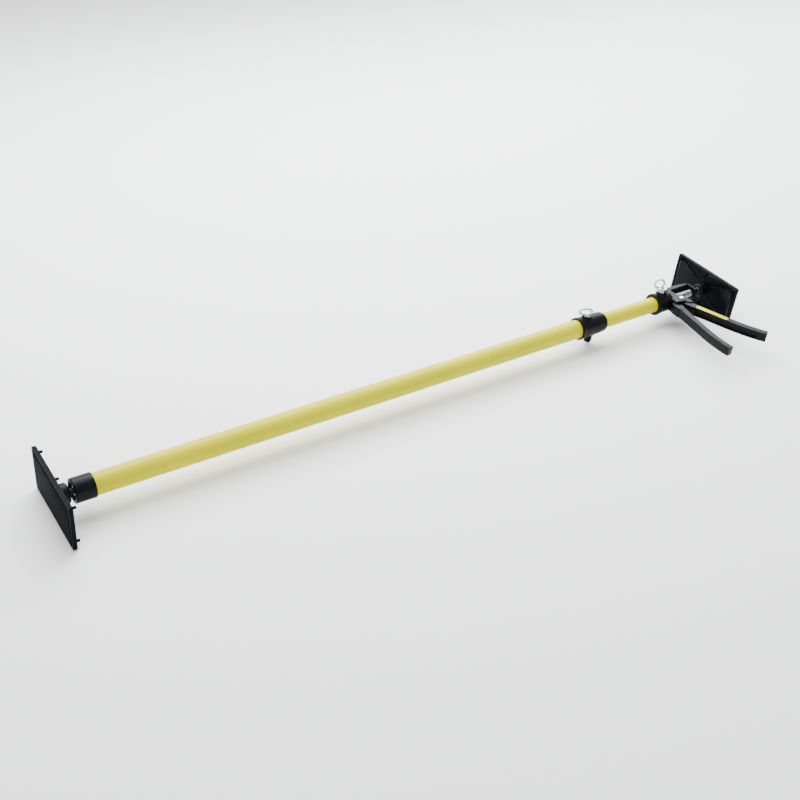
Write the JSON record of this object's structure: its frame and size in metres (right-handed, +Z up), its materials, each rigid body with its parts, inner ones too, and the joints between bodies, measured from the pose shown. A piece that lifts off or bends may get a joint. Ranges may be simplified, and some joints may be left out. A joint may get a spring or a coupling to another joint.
{
  "type": "telescopic support rod",
  "caption": "Telescopic ceiling support rod with a clamp collar, a pump grip with trigger and handle, and a rubber faced swivel plate at each end.",
  "frame": {"origin": "centre of the foot pad's outer face, on the pole's axis", "axes": "+X along the pole from the foot to the top plate, +Z up with the pole lying on its plates' long edges, levers of the pump grip towards -Y"},
  "size_m": [1.136, 0.2243, 0.0797],
  "materials": {
    "yellow_paint": "glossy yellow powder coat on steel tube",
    "black_plastic": "fine moulded black, slightly glossy",
    "rubber": "dark grey textured rubber",
    "zinc": "bright zinc plated steel",
    "steel": "bright drawn steel",
    "black_steel": "black oxide finish on steel",
    "brass": "turned brass insert",
    "nylon": "natural nylon",
    "yellow_inlay": "plain yellow inlay, no lettering"
  },
  "bodies": {
    "pole": {"outer_tube": "yellow_paint", "foot_end_cap": "black_plastic", "collar_body": "black_plastic", "collar_insert": "brass", "pressure_shoe": "nylon", "collar_fixing_screw": "zinc"},
    "foot_swivel": {"foot_ball_stud": "black_steel", "foot_stud_nut": "zinc"},
    "foot": {"foot_plate": "black_plastic", "foot_pad": "rubber", "foot_socket": "black_plastic", "foot_socket_screw_near": "steel", "foot_socket_screw_far": "steel"},
    "collar_knob": {"collar_wing_screw": "zinc"},
    "grip": {"inner_tube": "yellow_paint", "inner_guide_bush": "nylon", "housing": "black_plastic", "housing_insert": "brass", "rod_guide_bush": "black_plastic", "trigger_pin": "zinc", "brake_spring": "steel", "return_spring": "zinc"},
    "housing_knob": {"housing_wing_screw": "zinc"},
    "trigger": {"trigger": "black_plastic", "trigger_inlay": "yellow_inlay"},
    "drive": {"drive_plate": "zinc"},
    "brake": {"brake_plate": "zinc"},
    "rod": {"pump_rod": "steel", "rod_stop": "nylon"},
    "top_swivel": {"top_ball_stud": "black_steel"},
    "top": {"top_plate": "black_plastic", "top_pad": "rubber", "top_socket": "black_plastic", "top_socket_screw_near": "steel", "top_socket_screw_far": "steel"}
  },
  "joints": [
    {"name": "foot_spin", "type": "hinge", "parent": "pole", "child": "foot_swivel", "pos_m": [0.017, 0, 0], "axis": [1, 0, 0], "continuous": true},
    {"name": "foot_tilt", "type": "hinge", "parent": "foot_swivel", "child": "foot", "pos_m": [0.017, 0, 0], "axis": [0, 1, 0], "range_deg": [-35, 35]},
    {"name": "collar_screw_turn", "type": "hinge", "parent": "pole", "child": "collar_knob", "pos_m": [0.866, 0, 0.02], "axis": [0, 0, 1], "continuous": true},
    {"name": "inner_slide", "type": "slide", "parent": "pole", "child": "grip", "axis": [1, 0, 0], "range_m": [0, 0.74]},
    {"name": "housing_screw_turn", "type": "hinge", "parent": "grip", "child": "housing_knob", "pos_m": [1.027, 0, 0.02], "axis": [0, 0, 1], "continuous": true},
    {"name": "trigger_squeeze", "type": "hinge", "parent": "grip", "child": "trigger", "pos_m": [1.058, -0.018, 0], "axis": [0, 0, -1], "range_deg": [0, 20], "stiffness_Nm_per_rad": 0.3, "springref_deg": -34.38},
    {"name": "drive_slide", "type": "slide", "parent": "grip", "child": "drive", "axis": [1, 0, 0], "range_m": [0, 0.0053], "deforming": ["return_spring"]},
    {"name": "brake_tilt", "type": "hinge", "parent": "grip", "child": "brake", "pos_m": [1.0485, -0.0082, 0], "axis": [0, 0, -1], "range_deg": [0, 8], "stiffness_Nm_per_rad": 0.2, "springref_deg": -17.19},
    {"name": "rod_slide", "type": "slide", "parent": "grip", "child": "rod", "axis": [1, 0, 0], "range_m": [0, 0.93]},
    {"name": "top_spin", "type": "hinge", "parent": "rod", "child": "top_swivel", "pos_m": [1.1202, 0, 0], "axis": [1, 0, 0], "continuous": true},
    {"name": "top_tilt", "type": "hinge", "parent": "top_swivel", "child": "top", "pos_m": [1.1202, 0, 0], "axis": [0, 1, 0], "range_deg": [-35, 35]}
  ],
  "couplings": [
    {"joint": "drive_slide", "follows": "trigger_squeeze", "m_per_rad": 0.015}
  ]
}
